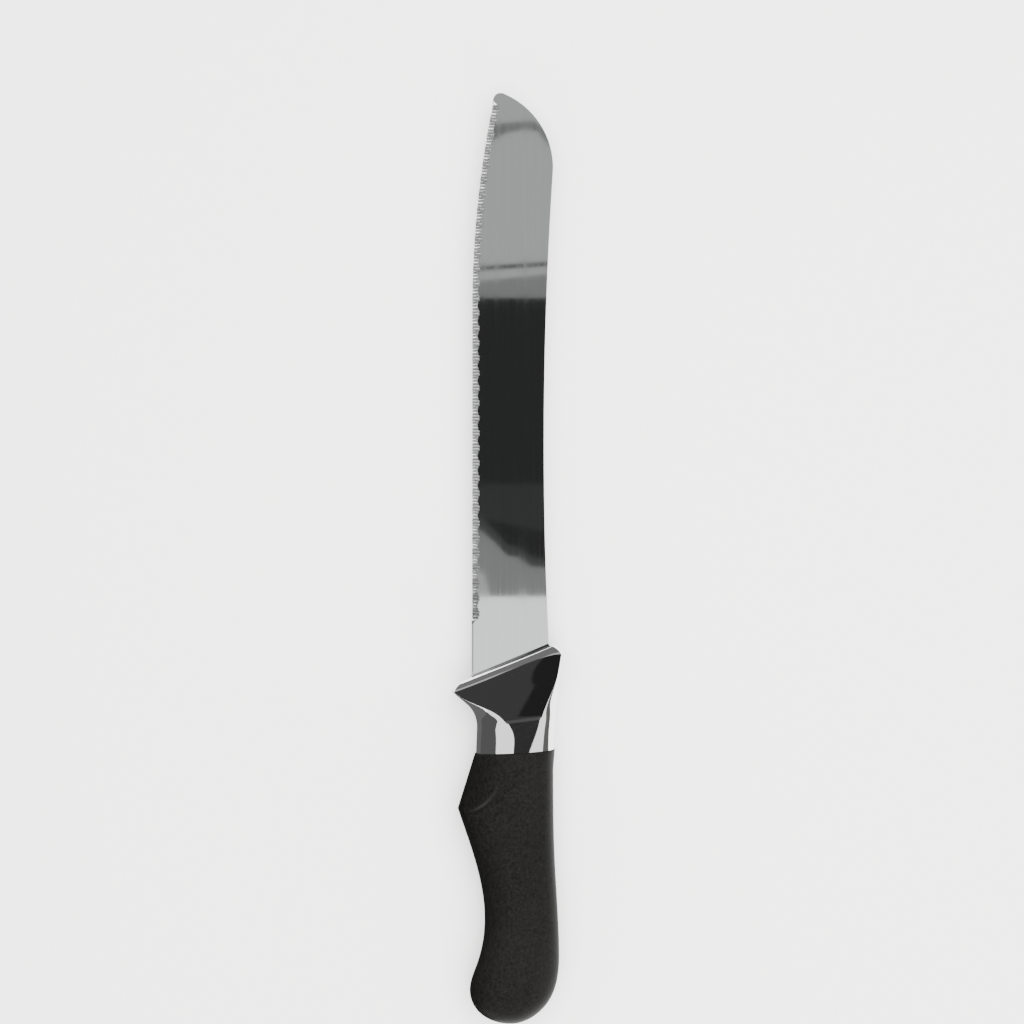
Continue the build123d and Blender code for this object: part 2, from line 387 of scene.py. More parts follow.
lock_pitch, lock_hole, lock_count = 21.0, 5.0, 3
circle_steps = 40
turns = [2 * pi * number / circle_steps for number in range(circle_steps)]
hole_cutters = []
for number in range(lock_count):
    hole_y = (joint_y + tang_end) / 2 + (number - 1) * lock_pitch
    circle = [(neck_centre + lock_hole / 2 * cos(turn), hole_y + lock_hole / 2 * sin(turn)) for turn in turns]
    hole_cutters.append(straight_cutter(f"hole_{number}", circle, -2.0, 2.0))
cut_away(blade, hole_cutters, crease=20.0)
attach(blade, "root")
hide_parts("blade")

# %% [markdown]
# ## A cross-section with a fold
# Collar and grip have the same kind of cross-section: flat above and below, a rounded shoulder on each
# side. On the collar's facets the flat is cut like a gem, so the shoulder meets it at a fold instead of
# running into it smoothly. One ellipse can do both. We take only the part of it whose normal leans away
# from the flat by at least the fold's angle, and place the points by equal turns of that normal, so that
# tight bends get many points and the long sides few.

# %% A ring for one cross-section
cap_steps, flat_steps = 24, 20
settling_rounds = 60


def cap_profile(shoulder, height, fold):
    """One rounded side from its widest place up to the flat: how far out and how high, in millimetres."""
    lean = tan(radians(90 - fold))
    share = min(shoulder / height, 0.49 * lean)
    last = 2 * atan2(sqrt(1 - 2 * share / lean), 1)
    wide, high = shoulder / (1 - cos(last)), height / sin(last)
    profile = []
    for step in range(cap_steps + 1):
        normal = radians(90 - fold) * step / cap_steps
        turn = atan2(high * sin(normal), wide * cos(normal))
        profile.append((wide * (cos(turn) - cos(last)), high * sin(turn)))
    return profile


def section_ring(edge_point, spine_point, shoulders, height_at, fold=0.0):
    """A closed cross-section on the line between two outline points; height_at gives the flat's height."""
    across, along = spine_point[0] - edge_point[0], spine_point[1] - edge_point[1]
    width = hypot(across, along)

    def spot(place):
        return edge_point[0] + across * place / width, edge_point[1] + along * place / width

    flat_start, flat_end = shoulders[0], width - shoulders[1]
    edge_cap = cap_profile(shoulders[0], height_at(*spot(flat_start)), fold)
    spine_cap = cap_profile(shoulders[1], height_at(*spot(flat_end)), fold)
    flat = [flat_end + (flat_start - flat_end) * step / flat_steps for step in range(1, flat_steps)]
    half = [(flat_end + out, high) for out, high in spine_cap]
    half += [(place, height_at(*spot(place))) for place in flat]
    half += [(flat_start - out, high) for out, high in reversed(edge_cap)]
    loop = half + [(place, -high) for place, high in reversed(half[1:-1])]
    return [(*spot(place), high) for place, high in loop]


def ease(value, start, end):
    """Rise smoothly from 0 at start to 1 at end."""
    share = min(max((value - start) / (end - start), 0.0), 1.0)
    return share * share * (3 - 2 * share)


def mix(start, end, share):
    """Part of the way from one number to another."""
    return start + (end - start) * share


def mix_places(start, end, share):
    """Part of the way from one place to another."""
    return tuple(mix(first, last, share) for first, last in zip(start, end))


def smooth_curve(points, first_slope, last_slope, count):
    """Even steps along a curve through the points with a continuous bend and set directions at its ends."""
    spans = [hypot(b[0] - a[0], b[1] - a[1]) for a, b in zip(points, points[1:])]
    slopes = [Vector(first_slope).normalized()]
    slopes += [Vector((0.0, 0.0)) for _ in points[1:-1]] + [Vector(last_slope).normalized()]
    for _ in range(settling_rounds):
        for number in range(1, len(points) - 1):
            before, after = spans[number - 1], spans[number]
            rise = (Vector(points[number]) - Vector(points[number - 1])) * after / before
            fall = (Vector(points[number + 1]) - Vector(points[number])) * before / after
            pull = slopes[number - 1] * after + slopes[number + 1] * before
            slopes[number] = (3 * (rise + fall) - pull) / (2 * (before + after))
    path, whole = [], sum(spans)
    for step in range(count + 1):
        travel, number = whole * step / count, 0
        while travel > spans[number] and number < len(spans) - 1:
            travel -= spans[number]
            number += 1
        span, share = spans[number], travel / spans[number]
        start, end = Vector(points[number]), Vector(points[number + 1])
        place = start * (1 - share)**2 * (1 + 2 * share) + end * share**2 * (3 - 2 * share)
        place += slopes[number] * span * share * (1 - share)**2
        place -= slopes[number + 1] * span * share**2 * (1 - share)
        path.append((place.x, place.y))
    return path


def read_curve(curve, place):
    """Height of a left-to-right curve at a place along it."""
    for before, after in zip(curve, curve[1:]):
        if after[0] >= place:
            return mix(before[1], after[1], (place - before[0]) / max(after[0] - before[0], 1e-9))
    return curve[-1][1]


def bend_ring(ring, edge_point, spine_point, direction, amount, climb=0.0):
    """Shift a ring's points along a direction by an amount that depends on their share across the ring."""
    line = Vector(spine_point) - Vector(edge_point)
    bent = []
    for x, y, z in ring:
        share = (Vector((x, y)) - Vector(edge_point)).dot(line) / line.length_squared
        shift = amount(min(max(share, 0.0), 1.0))
        bent.append((x + direction[0] * shift, y + direction[1] * shift, z * (1 + climb * shift)))
    return bent

# %% [markdown]
# ## The collar
# The collar is a moulded shell, polished and plated: a short oval neck that flares out to a slanted front.
# A flat facet lies across the flare on each face. Its outline is a wedge, wide at the front and closing to
# a short base where it meets the neck, and the fold along its sides is what makes the plating flash from
# dark to white. First come the two sides of the outline, which the sections will follow.

# %% Lines of the collar
neck_width = 26.0
joint_tilt = radians(2.8)
guard_half = 18.5
beak_reach, crown_reach = 20.0, 32.8
beak = (-guard_half, joint_y + beak_reach)
crown = (guard_half, joint_y + crown_reach)
flare_start, flare_lean, flare_radius, spine_bow = 12.5, 0.5, 10.0, 1.1


def moved_in(edge_point, spine_point, inset):
    """The two outline points, moved towards each other."""
    line = (Vector(spine_point) - Vector(edge_point)).normalized() * inset
    return tuple(Vector(edge_point) + line), tuple(Vector(spine_point) - line)


def neck_corner(side, half_width):
    """End of the slightly tilted line across the joint; side is -1 for the edge and 1 for the spine."""
    return (
        neck_centre + side * half_width * cos(joint_tilt),
        joint_y + side * half_width * sin(joint_tilt),
    )


def rounded_corner(start, corner, end, radius, count):
    """Even steps along a line that turns one corner with a radius."""
    first, second = Vector(corner) - Vector(start), Vector(end) - Vector(corner)
    turn = first.angle(second)
    trim = radius * tan(turn / 2)
    enter = Vector(corner) - first.normalized() * trim
    leave = Vector(corner) + second.normalized() * trim
    side = copysign(1.0, first.x * second.y - first.y * second.x)
    centre = enter + side * radius * Vector((-first.y, first.x)).normalized()
    lengths = (first.length - trim, radius * turn, second.length - trim)
    path = []
    for step in range(count + 1):
        travel = sum(lengths) * step / count
        if travel <= lengths[0]:
            place = Vector(start) + first.normalized() * travel
        elif travel <= lengths[0] + lengths[1]:
            angle = side * (travel - lengths[0]) / radius
            arm = enter - centre
            place = centre + Vector((
                arm.x * cos(angle) - arm.y * sin(angle),
                arm.x * sin(angle) + arm.y * cos(angle),
            ))
        else:
            place = leave + second.normalized() * (travel - lengths[0] - lengths[1])
        path.append((place.x, place.y))
    return path


collar_steps = 72
neck_edge, neck_spine = neck_corner(-1, neck_width / 2), neck_corner(1, neck_width / 2)
flare_corner = (neck_edge[0] + flare_lean, joint_y + flare_start)
collar_edge_side = rounded_corner(neck_edge, flare_corner, beak, flare_radius, collar_steps)
bow_point = (neck_spine[0] + spine_bow, (joint_y + crown[1]) / 2)
bow_centre, bow_radius = arc_through(neck_spine, bow_point, crown)
collar_spine_side = arc_points(bow_centre, neck_spine, crown, collar_steps) + [crown]
print(f"flare from {neck_width:.0f} to {2 * guard_half:.0f} mm wide, spine side bows at {bow_radius:.0f} mm")

# %% [markdown]
# A section is known when we have the width of its two shoulders and the height of its flat. The shoulders
# are wide at the neck and shrink to almost nothing at the front. The flat's height comes from one plane,
# the facet, so that it stays a true flat mirror however the sections turn. Ahead of the front rim the same
# sections shrink and bulge forward, and give the front face its dome.

# %% Sections of the collar
neck_height = 8.3
neck_edge_shoulder, neck_spine_shoulder = 12.4, 8.3
rim_edge_shoulder, rim_spine_shoulder = 0.85, 0.9
facet_slope = 0.098
facet_fold = 22.0
base_point = (-1.0, joint_y + 10.3)
uphill = Vector((-0.122, 0.9925))
least_shoulder = 0.6
slant = Vector((crown[0] - beak[0], crown[1] - beak[1])).normalized()
ahead = Vector((-slant.y, slant.x))

# Shoulder widths against the percentage of the way from neck to front.
edge_widths = [(0, neck_edge_shoulder), (28, 11.6), (39, 9.6), (50, 7.5), (67, 3.6), (92, 1.05)]
spine_widths = [(0, neck_spine_shoulder), (24, 5.8), (43, 4.5), (55, 3.3), (73, 1.6), (87, 1.0)]
edge_shoulder_curve = smooth_curve([*edge_widths, (100, rim_edge_shoulder)], (1.0, 0.0), (50.0, -1.0), 200)
spine_shoulder_curve = smooth_curve([*spine_widths, (100, rim_spine_shoulder)], (10.0, -1.0), (1.0, 0.0), 200)
# How far the rim bows forward, against the share of the way from beak to crown.
front_bow = smooth_curve(
    [(0.0, 0.0), (0.2, 0.15), (0.52, 0.9), (0.79, 1.3), (0.93, 0.9), (1.0, 0.0)], (1.0, 0.0), (0.1, -1.0), 80
)


def facet_height(x, y):
    """Height of the neck, or of the facet's plane where it has climbed above the neck."""
    climbed = uphill.x * (x - base_point[0]) + uphill.y * (y - base_point[1])
    softened = climbed if climbed > 1 else (max(climbed, -1) + 1)**2 / 4
    return neck_height + facet_slope * softened


def bowed_ring(ring, edge_point, spine_point, weight):
    """A ring that takes some of the rim's bow, and climbs along the facet as it does."""
    climb = facet_slope / neck_height
    return bend_ring(
        ring, edge_point, spine_point, ahead, lambda share: weight * read_curve(front_bow, share), climb
    )


def collar_ring(step, inset=0.0):
    """One ring of the flare, from the neck at step 0 to the front rim at the last step."""
    along = step / collar_steps
    edge_point, spine_point = collar_edge_side[step], collar_spine_side[step]
    edge_shoulder = read_curve(edge_shoulder_curve, 100 * along)
    spine_shoulder = read_curve(spine_shoulder_curve, 100 * along)
    if inset:
        edge_point, spine_point = moved_in(edge_point, spine_point, inset)
        edge_shoulder = max(edge_shoulder - inset, least_shoulder)
        spine_shoulder = max(spine_shoulder - inset, least_shoulder)
    fold = mix(1.0, facet_fold, ease(along, 0.3, 0.5))
    shoulders = (edge_shoulder, spine_shoulder)
    ring = section_ring(edge_point, spine_point, shoulders, lambda x, y: facet_height(x, y) - inset, fold)
    return bowed_ring(ring, edge_point, spine_point, ease(along, 0.75, 1.0))


first_turn, last_turn, turn_step = 18, 90, 6
beak_rounding, crown_rounding = 6.0, 3.4
beak_dome, crown_dome = 2.4, 4.2
rim_drop, front_fold = 2.4, 20.0


def front_ring(turn):
    """One ring of the domed front, from the rim at the first turn to the front face at 90 degrees."""
    first = radians(first_turn)
    pulled_in = 1 - cos(radians(turn)) / cos(first)
    pushed_out = (sin(radians(turn)) - sin(first)) / (1 - sin(first))
    edge_point = Vector(beak) + slant * beak_rounding * pulled_in + ahead * beak_dome * pushed_out
    spine_point = Vector(crown) - slant * crown_rounding * pulled_in + ahead * crown_dome * pushed_out

    def height_at(x, y):
        back = (Vector((x, y)) - Vector(beak)).dot(ahead)
        return facet_height(x - ahead.x * back, y - ahead.y * back) - rim_drop * pulled_in

    shoulders = (rim_edge_shoulder, rim_spine_shoulder)
    ring = section_ring(tuple(edge_point), tuple(spine_point), shoulders, height_at, front_fold)
    return bowed_ring(ring, edge_point, spine_point, 1 - pushed_out)


collar_wall = 1.8
cavity_end = int(collar_steps * 0.8)
collar_crease = 8.0
collar_rings = [collar_ring(step, collar_wall) for step in range(cavity_end, -1, -6)]
collar_rings += [collar_ring(step) for step in range(collar_steps + 1)]
collar_rings += [front_ring(turn) for turn in range(first_turn + turn_step, last_turn + 1, turn_step)]
collar = ring_mesh("plated_collar", collar_rings, crease=collar_crease)

# %% [markdown]
# The blade enters the collar through a slot in the front. The slot is a little larger than the blade all
# round, so that steel and plating never touch, and it is as deep as the full width of the blade reaches.

# %% Cut the slot for the blade
slot_gap = 0.15
slot_half = half_blade + slot_gap
slot_left, slot_right = edge_x - slot_gap, heel_x + slot_gap
slot_back, slot_front = shoulder_y - slot_gap, heel_y + 10
corners = [(slot_left, slot_back), (slot_right, slot_back), (slot_right, slot_front), (slot_left, slot_front)]
slot = straight_cutter("slot", corners, -slot_half, slot_half)
cut_away(collar, [slot], crease=collar_crease)
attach(collar, "root")
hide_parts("collar")

# %% [markdown]
# ## The grip
# The grip is a soft black cover moulded over the core. Its outline is a hand's: a finger stop below the
# joint, a hollow for the fingers, a swollen back for the palm and a hooked butt. We run a smooth curve
# through a few places on each side. The curve keeps its bend continuous, because the eye finds every
# break in the outline of a plain dark shape.

# %% The two sides of the grip
palm_steps = 150
grip_step = 0.35
peak = (-16.75, joint_y - 19.0)
ridge_end = (neck_centre + neck_width / 2 - 0.2, joint_y - 6.0)
butt_point = (1.0, butt_y)
edge_places = [(-7.8, 33.5), (-10.45, 19.5), (-12.75, 11), (-10.7, 5)]
spine_places = [(15.6, 55), (17.05, 26), (13.25, 7)]


def grip_side(start, places, first_slope, last_slope):
    """One side of the grip, through places given by their distance from the butt."""
    places = [(across, butt_y + along) for across, along in places]
    return smooth_curve([start, *places, butt_point], first_slope, last_slope, palm_steps)


grip_edge_side = grip_side(peak, edge_places, (0.34, -1), (1, 0))
grip_spine_side = grip_side(ridge_end, spine_places, (0, -1), (-1, 0))
hollow = max(place[0] for place in grip_edge_side if place[1] > butt_y + 20)
print(f"finger hollow at x = {hollow:.1f}, grip {grip_spine_side[0][1] - butt_y:.1f} mm below the ridge")

# %% [markdown]
# A soft ridge crosses the grip where the sloped finger stop meets the palm. It starts at the stop's peak,
# dips, then climbs to the back and fades there. We make it by letting the rings near it bend along the
# knife, and by letting the stop grow thicker, ever faster, on its way to the ridge: the change of slope is
# the ridge.

# %% Make the grip
ridge_dip = smooth_curve(
    [(0.0, 0.0), (0.05, -2.2), (0.14, -3.0), (0.24, -2.9), (0.4, -0.7), (0.6, -0.1), (0.85, 0.5), (1.0, 0.0)],
    (0.05, -1.0), (0.3, -1.0), 100,
)
neck_steps = 26
waist_height, palm_height = 8.5, 9.7
edge_lift, spine_drop = 0.4, 0.3
butt_round = 9.0
full_round = 0.46
ridge_bead = 0.3


def slope_across(edge_point, spine_point, edge_height, spine_height):
    """A height that changes evenly from the edge side to the spine side."""
    span = spine_point[0] - edge_point[0]
    return lambda x, y: mix(edge_height, spine_height, (x - edge_point[0]) / span)


def stop_ring(share, inset=0.0):
    """One ring of the finger stop, from the joint at 0 to the ridge at 1."""
    half_width = neck_width / 2 + grip_step
    edge_point = mix_places(neck_corner(-1, half_width), peak, share)
    spine_point = mix_places(neck_corner(1, half_width), ridge_end, share)
    ends = moved_in(edge_point, spine_point, inset)
    start_height = neck_height + grip_step
    bead = ridge_bead * ease(share, 0.93, 1.0)
    edge_height = mix(start_height, palm_height + edge_lift, share**3) + bead - inset
    spine_height = mix(start_height, palm_height - spine_drop, share**1.2) - inset
    widest = full_round * hypot(spine_point[0] - edge_point[0], spine_point[1] - edge_point[1])
    shoulders = [mix(start, widest, share) - inset for start in (neck_edge_shoulder, neck_spine_shoulder)]
    ring = section_ring(*ends, shoulders, slope_across(*ends, edge_height, spine_height))
    return bend_ring(ring, *ends, (0.0, 1.0), lambda across: share**2 * read_curve(ridge_dip, across))


def palm_ring(step, inset=0.0):
    """One ring of the palm, from the ridge at step 0 to the butt."""
    along = step / palm_steps
    edge_point, spine_point = grip_edge_side[step], grip_spine_side[step]
    ends = moved_in(edge_point, spine_point, inset)
    width = hypot(spine_point[0] - edge_point[0], spine_point[1] - edge_point[1])
    height = mix(waist_height, palm_height, cos(pi * along)**2)
    to_butt = (edge_point[1] + spine_point[1]) / 2 - butt_y
    if to_butt < butt_round:
        height *= sqrt(1 - (1 - to_butt / butt_round)**2)
    shoulder = full_round * width - inset
    fade = 1 - ease(along, 0.0, 0.2)
    bead = ridge_bead * (1 - ease(along, 0.0, 0.016))
    edge_height = height + edge_lift * fade + bead - inset
    heights = slope_across(*ends, edge_height, height - spine_drop * fade - inset)
    ring = section_ring(*ends, (shoulder, shoulder), heights)
    return bend_ring(ring, *ends, (0.0, 1.0), lambda across: fade * read_curve(ridge_dip, across))


grip_wall = 2.6
core_end = int(palm_steps * 0.8)
inner_rings = [palm_ring(step, grip_wall) for step in range(core_end, 0, -10)]
inner_rings += [stop_ring(step / 4, grip_wall) for step in range(4, -1, -1)]
rounded_rim = [stop_ring(0.0, 0.12), stop_ring(0.008, 0.03)]
outer_rings = [stop_ring(ease(step, -neck_steps * 0.1, neck_steps)) for step in range(1, neck_steps + 1)]
outer_rings += [palm_ring(step) for step in range(1, palm_steps)]
soft_grip = ring_mesh("soft_grip", inner_rings + rounded_rim + outer_rings, crease=40.0)
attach(soft_grip, "root")
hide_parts("grip")

# %% [markdown]
# ## Finishes
# The finishes share three effects, kept in node groups so that each material only says how much of them it
# wants. Brushed lines are noise stretched along the knife, as a polishing belt leaves them. Fine grain is
# noise at two sizes, and breaks up the shine of a moulded or plated surface. The highlight arc is a painted
# highlight: a faint curved light streak along the grip's ridge. All use object coordinates, so they stay put
# when the knife moves.

# %% Shared effects


def new_group(name, inputs, outputs):
    """An empty shader node group with named value inputs and outputs."""
    group = bpy.data.node_groups.new(name, "ShaderNodeTree")
    for label, default in inputs:
        socket = group.interface.new_socket(label, in_out="INPUT", socket_type="NodeSocketFloat")
        socket.default_value = default
    for label in outputs:
        group.interface.new_socket(label, in_out="OUTPUT", socket_type="NodeSocketFloat")
    return group, group.nodes.new("NodeGroupInput"), group.nodes.new("NodeGroupOutput")


def math_node(tree, operation, first, second):
    """A math node; its inputs may be numbers or sockets."""
    node = tree.nodes.new("ShaderNodeMath")
    node.operation = operation
    for socket, value in zip(node.inputs, (first, second)):
        if isinstance(value, (int, float)):
            socket.default_value = value
        else:
            tree.links.new(value, socket)
    return node.outputs["Value"]


def between(tree, share, low, high):
    """Map a share from 0 to 1 onto low to high; low and high are sockets or numbers."""
    span = math_node(tree, "SUBTRACT", high, low)
    return math_node(tree, "ADD", math_node(tree, "MULTIPLY", share, span), low)


def noise_layers(group, place, given, label, layers):
    """Noise at several sizes, each a share of the group's number of features per metre."""
    outputs = []
    for share, detail in layers:
        noise = group.nodes.new("ShaderNodeTexNoise")
        noise.inputs["Detail"].default_value = detail
        group.links.new(place, noise.inputs["Vector"])
        group.links.new(math_node(group, "MULTIPLY", given.outputs[label], share), noise.inputs["Scale"])
        outputs.append(noise.outputs["Fac"])
    return outputs


def give_pattern(group, given, out, blend, height):
    """Send out a pattern as a value from low to high, and as a height."""
    group.links.new(between(group, blend, given.outputs["Low"], given.outputs["High"]), out.inputs["Value"])
    group.links.new(height, out.inputs["Height"])
    return group


def object_place(group):
    """The point on the surface, in the knife's own coordinates."""
    return group.nodes.new("ShaderNodeTexCoord").outputs["Object"]


def object_axes(group):
    """The same point, split into X, Y and Z."""
    apart = group.nodes.new("ShaderNodeSeparateXYZ")
    group.links.new(object_place(group), apart.inputs[0])
    return apart.outputs


def make_brushed_lines():
    """Lines along the knife: a coarse and a fine set."""
    group, given, out = new_group(
        "brushed_lines", [("Lines per metre", 900.0), ("Stretch", 60.0), ("Low", 0.0), ("High", 1.0)],
        ["Value", "Height"],
    )
    apart = object_axes(group)
    joined = group.nodes.new("ShaderNodeCombineXYZ")
    drawn_out = math_node(group, "DIVIDE", apart["Y"], given.outputs["Stretch"])
    for axis, value in (("X", apart["X"]), ("Y", drawn_out), ("Z", apart["Z"])):
        group.links.new(value, joined.inputs[axis])
    layers = noise_layers(group, joined.outputs[0], given, "Lines per metre", ((1.0, 3.0), (0.13, 3.0)))
    blend = math_node(group, "MULTIPLY", math_node(group, "ADD", *layers), 0.5)
    return give_pattern(group, given, out, blend, layers[0])


def make_fine_grain():
    """Noise at a fine and a wide size."""
    group, given, out = new_group(
        "fine_grain", [("Grains per metre", 3000.0), ("Cloud", 0.3), ("Low", 0.0), ("High", 1.0)],
        ["Value", "Height"],
    )
    layers = noise_layers(group, object_place(group), given, "Grains per metre", ((1.0, 2.0), (0.02, 4.0)))
    blend = between(group, given.outputs["Cloud"], *layers)
    return give_pattern(group, given, out, blend, layers[0])


def make_painted_highlight_arc():
    """A faint arc seen from above, for a painted highlight on the grip's ridge, strongest in its middle, as a
    value from 0 to 1.
    """
    labels = ("Centre X", "Centre Y", "Radius", "Middle X", "Reach", "Width")
    group, given, out = new_group("painted_highlight_arc", [(label, 0.01) for label in labels], ["Value"])
    apart = object_axes(group)
    sideways = math_node(group, "SUBTRACT", apart["X"], given.outputs["Centre X"])
    lengthwise = math_node(group, "SUBTRACT", apart["Y"], given.outputs["Centre Y"])
    squares = [math_node(group, "MULTIPLY", part, part) for part in (sideways, lengthwise)]
    distance = math_node(group, "POWER", math_node(group, "ADD", *squares), 0.5)
    off_arc = math_node(group, "SUBTRACT", distance, given.outputs["Radius"])
    off_middle = math_node(group, "SUBTRACT", apart["X"], given.outputs["Middle X"])
    fades = []
    for offset, limit in ((off_arc, "Width"), (off_middle, "Reach")):
        share = math_node(group, "DIVIDE", math_node(group, "ABSOLUTE", offset, 0.0), given.outputs[limit])
        fades.append(math_node(group, "MAXIMUM", math_node(group, "SUBTRACT", 1.0, share), 0.0))
    group.links.new(math_node(group, "MULTIPLY", *fades), out.inputs["Value"])
    return group


brushed_lines, fine_grain, painted_highlight_arc = make_brushed_lines(), make_fine_grain(), make_painted_highlight_arc()
print("effects:", brushed_lines.name, fine_grain.name, painted_highlight_arc.name)

# %% [markdown]
# Every finish is a Principled surface whose constants are set directly. Only what varies over the surface
# is linked: the roughness, the colour where it is mottled, and a bump that only the shine shows.

# %% A helper for the finishes


def effect(tree, group, **settings):
    """Place one of the shared effects and set its inputs; underscores in the names stand for spaces."""
    node = tree.nodes.new("ShaderNodeGroup")
    node.node_tree = group
    for label, value in settings.items():
        node.inputs[label.replace("_", " ")].default_value = value
    return node


def plain_finish(name, colour, metallic, **constants):
    """A material with its Principled surface, ready for effects."""
    material = bpy.data.materials.new(name)
    material.use_nodes = True
    surface = material.node_tree.nodes["Principled BSDF"]
    surface.inputs["Base Color"].default_value = (*colour, 1.0)
    surface.inputs["Metallic"].default_value = metallic
    for label, value in constants.items():
        surface.inputs[label.replace("_", " ")].default_value = value
    return material, material.node_tree, surface


def add_pattern(tree, surface, group, bump_strength, bump_depth_mm, **settings):
    """Let one of the shared effects drive the roughness and a bump, and give back its node."""
    pattern = effect(tree, group, **settings)
    tree.links.new(pattern.outputs["Value"], surface.inputs["Roughness"])
    bump = tree.nodes.new("ShaderNodeBump")
    bump.inputs["Strength"].default_value = bump_strength
    bump.inputs["Distance"].default_value = bump_depth_mm * MM
    tree.links.new(pattern.outputs["Height"], bump.inputs["Height"])
    tree.links.new(bump.outputs["Normal"], surface.inputs["Normal"])
    return pattern


def tint(tree, surface, share, dark, light):
    """Let the base colour vary between a darker and a lighter tone; the darker one may be a socket."""
    blend = tree.nodes.new("ShaderNodeMix")
    blend.data_type = "RGBA"
    if isinstance(dark, tuple):
        blend.inputs[6].default_value = (*dark, 1.0)
    else:
        tree.links.new(dark, blend.inputs[6])
    blend.inputs[7].default_value = (*light, 1.0)
    tree.links.new(share, blend.inputs[0])
    tree.links.new(blend.outputs[2], surface.inputs["Base Color"])
    return blend.outputs[2]

# %% [markdown]
# ### Steel, plating, plastic and rubber
# The blade's faces are belt polished: nearly a mirror, with faint lines along the blade. The ground band is
# the wheel's own finish, rougher and therefore paler. Chrome plating is a cleaner mirror with only a trace
# of haze. The core is plain moulded plastic. The grip is a soft rubber with an eroded mould texture, which
# spreads every highlight until almost nothing is left of it, and a painted highlight lightens a thin arc
# along its ridge.

# %% Make the finishes
polished_steel, tree, surface = plain_finish("polished_steel", (0.60, 0.615, 0.615), 1.0)
lines = add_pattern(
    tree, surface, brushed_lines, 0.02, 0.005, Lines_per_metre=2200.0, Stretch=120.0, Low=0.0, High=0.065
)
tint(tree, surface, lines.outputs["Height"], (0.57, 0.585, 0.585), (0.64, 0.655, 0.655))

ground_steel, tree, surface = plain_finish("ground_steel", (0.70, 0.71, 0.71), 1.0)
add_pattern(tree, surface, fine_grain, 0.15, 0.02, Grains_per_metre=5000.0, Cloud=0.2, Low=0.12, High=0.30)

chrome, tree, surface = plain_finish("bright_chrome", (0.80, 0.81, 0.80), 1.0)
add_pattern(tree, surface, fine_grain, 0.02, 0.01, Grains_per_metre=2500.0, Cloud=0.8, Low=0.0, High=0.035)

core_plastic, tree, surface = plain_finish("core_plastic", (0.035, 0.035, 0.037), 0.0)
add_pattern(tree, surface, fine_grain, 0.1, 0.02, Grains_per_metre=2000.0, Cloud=0.3, Low=0.35, High=0.55)

black = (0.002, 0.002, 0.002)
soft_rubber, tree, surface = plain_finish("soft_black_rubber", black, 0.0, Specular_IOR_Level=0.09)
add_pattern(tree, surface, fine_grain, 0.25, 0.03, Grains_per_metre=2600.0, Cloud=0.45, Low=0.42, High=0.66)
mottle = effect(tree, fine_grain, Grains_per_metre=1300.0, Cloud=0.35, Low=-1.2, High=2.2)
mottled = tint(tree, surface, mottle.outputs["Value"], (0.0014, 0.0014, 0.0013), (0.0058, 0.0056, 0.0050))
# Painted highlight: a thin paler arc along the grip's ridge, where the light would catch it.
highlight_places = [(-4.7, joint_y - 13.4), (-8.0, joint_y - 16.8), (-13.3, joint_y - 19.5)]
highlight_centre, highlight_radius = arc_through(*highlight_places)
ridge_highlight = effect(
    tree, painted_highlight_arc, Centre_X=highlight_centre[0] * MM, Centre_Y=highlight_centre[1] * MM, Radius=highlight_radius * MM,
    Middle_X=-8.4 * MM, Reach=5.8 * MM, Width=0.7 * MM,
)
# The lighter colour here is the painted highlight on the ridge, laid over the mottled rubber.
tint(tree, surface, ridge_highlight.outputs["Value"], mottled, (0.012, 0.012, 0.011))


def dress(piece, *materials):
    """Give a piece its materials, the first on every face."""
    piece.data.materials.clear()
    for material in materials:
        piece.data.materials.append(material)


dress(blade, polished_steel, ground_steel)
dress(collar, chrome)
dress(soft_grip, soft_rubber)
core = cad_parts["handle_core"]
dress(core, core_plastic)
print("finishes:", [material.name for material in bpy.data.materials])

# %% [markdown]
# The ground band takes the wheel's finish. Its faces are easy to find: they lie near the cutting edge and
# they lean, while every face of the polished strip is either flat or upright.

# %% Give the ground band its own finish
band_depth, band_end_gap = 12, 1
upright, flat = 0.02, 0.985
ground_faces = 0
for face in blade.data.polygons:
    middle = face.center / MM
    leans = upright < face.normal.z < flat
    beside_teeth = edge_start - lead_in < middle.y < tip_y - band_end_gap
    if leans and beside_teeth and middle.x < nose_x - band_depth:
        face.material_index = 1
        ground_faces += 1
print(f"{ground_faces} of {len(blade.data.polygons)} faces belong to the ground band")

# %% [markdown]
# ## The studio
# Bright metal has no colour of its own: it shows the room. So the room is a plain pale floor under an even
# pale sky, with nothing else in it that the camera can see. The knife lies on the floor with a hair's gap.

# %% Floor and sky
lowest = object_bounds()[0][2]
floor_gap = 0.0002
bpy.ops.mesh.primitive_plane_add(size=6.0, location=(0.0, 0.0, lowest - floor_gap))
floor = bpy.context.object
floor.name = "pale_floor"
floor_paint, _, _ = plain_finish("floor_paint", (0.86, 0.86, 0.85), 0.0, Roughness=0.7)
dress(floor, floor_paint)

world = bpy.data.worlds.new("pale_sky")
world.use_nodes = True
world.node_tree.nodes["Background"].inputs["Color"].default_value = (1.0, 1.0, 0.995, 1.0)
world.node_tree.nodes["Background"].inputs["Strength"].default_value = 1.75
bpy.context.scene.world = world
print(f"floor at {lowest / MM:.1f} mm")

# %% [markdown]
# One large light high above gives the soft shadow close round the knife. Two small weak ones behind the
# butt lift the dark rubber. None shows in reflections: a square of light would give the lamp away.

# %% Soft light


